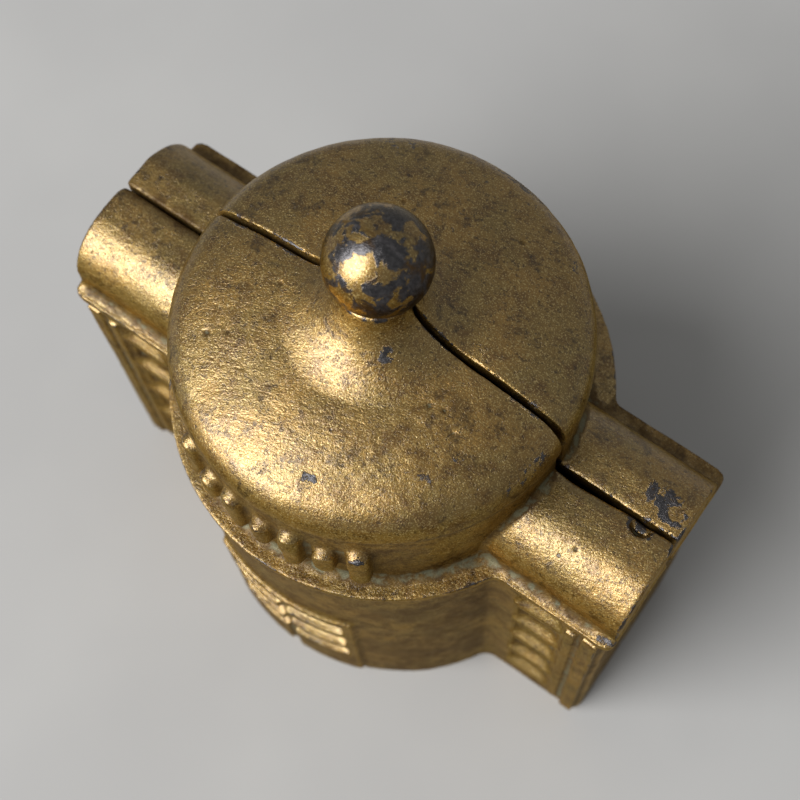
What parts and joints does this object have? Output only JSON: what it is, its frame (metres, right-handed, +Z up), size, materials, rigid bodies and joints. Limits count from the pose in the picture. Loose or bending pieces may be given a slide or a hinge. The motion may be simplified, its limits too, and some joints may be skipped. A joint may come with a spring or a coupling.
{
  "type": "coin bank",
  "caption": "Cast-iron still bank shaped as a domed building with two wings and a ball finial, made as a front and a back casting held by one long screw.",
  "frame": {"origin": "centre of the flat base, on the joint plane between the two castings", "axes": "+X along the wings, -Y the front with the door and +Y the back with the coin slot, +Z up along the dome's axis"},
  "size_m": [0.065, 0.0446, 0.0754],
  "materials": {
    "gilt_iron": "bronze-powder gold paint over sand-cast iron, worn to dark iron on the edges",
    "screw_steel": null
  },
  "bodies": {
    "front": {"front_casting": "gilt_iron"},
    "back": {"back_casting": "gilt_iron"},
    "screw": {"assembly_screw": "screw_steel"}
  },
  "joints": [
    {"name": "back_lift_off", "type": "slide", "parent": "front", "child": "back", "axis": [0, 1, 0], "range_m": [0, 0.045]},
    {"name": "screw_withdraw", "type": "slide", "parent": "back", "child": "screw", "axis": [0, 1, 0], "range_m": [0, 0.045]}
  ]
}
